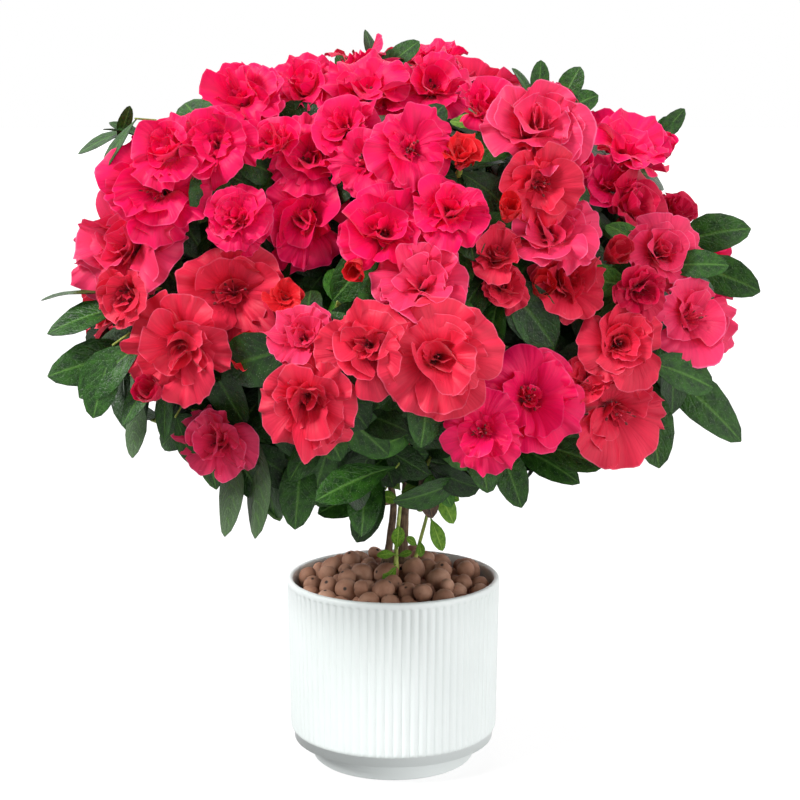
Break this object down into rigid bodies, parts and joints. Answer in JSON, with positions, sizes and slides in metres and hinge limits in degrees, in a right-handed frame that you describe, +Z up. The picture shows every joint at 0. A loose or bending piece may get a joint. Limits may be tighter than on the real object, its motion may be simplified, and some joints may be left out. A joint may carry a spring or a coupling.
{
  "type": "potted azalea shrub",
  "caption": "Rounded azalea shrub in full double bloom on woody stems, growing in a ribbed white ceramic pot topped with clay pebbles.",
  "frame": {"origin": "centre of the pot's flat underside", "axes": "+Z up along the pot's axis, +X to the right and -Y towards the front, as the plant is seen from the front"},
  "size_m": [0.3968, 0.3736, 0.4044],
  "materials": {
    "pot_ceramic": "matte",
    "clay_pebbles": "matte",
    "bark": "matte",
    "young_wood": "satin",
    "foliage": "satin",
    "blossom": "matte"
  },
  "bodies": {
    "root": {"bough_middle_back_left": "bark", "bough_middle_back_right": "bark", "bough_middle_front": "bark", "bough_middle_front_left": "bark", "bough_middle_front_right": "bark", "bough_middle_left": "bark", "bough_middle_right": "bark", "bough_skirt_back_left": "bark", "bough_skirt_back_right": "bark", "bough_skirt_front_left": "bark", "bough_skirt_front_right": "bark", "bough_skirt_left": "bark", "bough_skirt_right": "bark", "bough_top": "bark", "bough_upper_back": "bark", "bough_upper_back_left": "bark", "bough_upper_front": "bark", "bough_upper_front_left": "bark", "bough_upper_right": "bark", "mass_middle_back_left": "blossom", "mass_middle_back_right": "blossom", "mass_middle_front": "blossom", "mass_middle_front_left": "blossom", "mass_middle_front_right": "blossom", "mass_middle_left": "blossom", "mass_middle_right": "blossom", "mass_skirt_back_left": "foliage", "mass_skirt_back_right": "foliage", "mass_skirt_front_left": "foliage", "mass_skirt_front_right": "foliage", "mass_skirt_left": "foliage", "mass_skirt_right": "foliage", "mass_top": "blossom", "mass_upper_back": "blossom", "mass_upper_back_left": "blossom", "mass_upper_front": "blossom", "mass_upper_front_left": "blossom", "mass_upper_right": "blossom", "pebble_fill": "clay_pebbles", "pot": "pot_ceramic", "shoot_front": "young_wood", "shoot_right": "young_wood", "stem_left": "bark", "stem_right": "bark"}
  },
  "joints": []
}
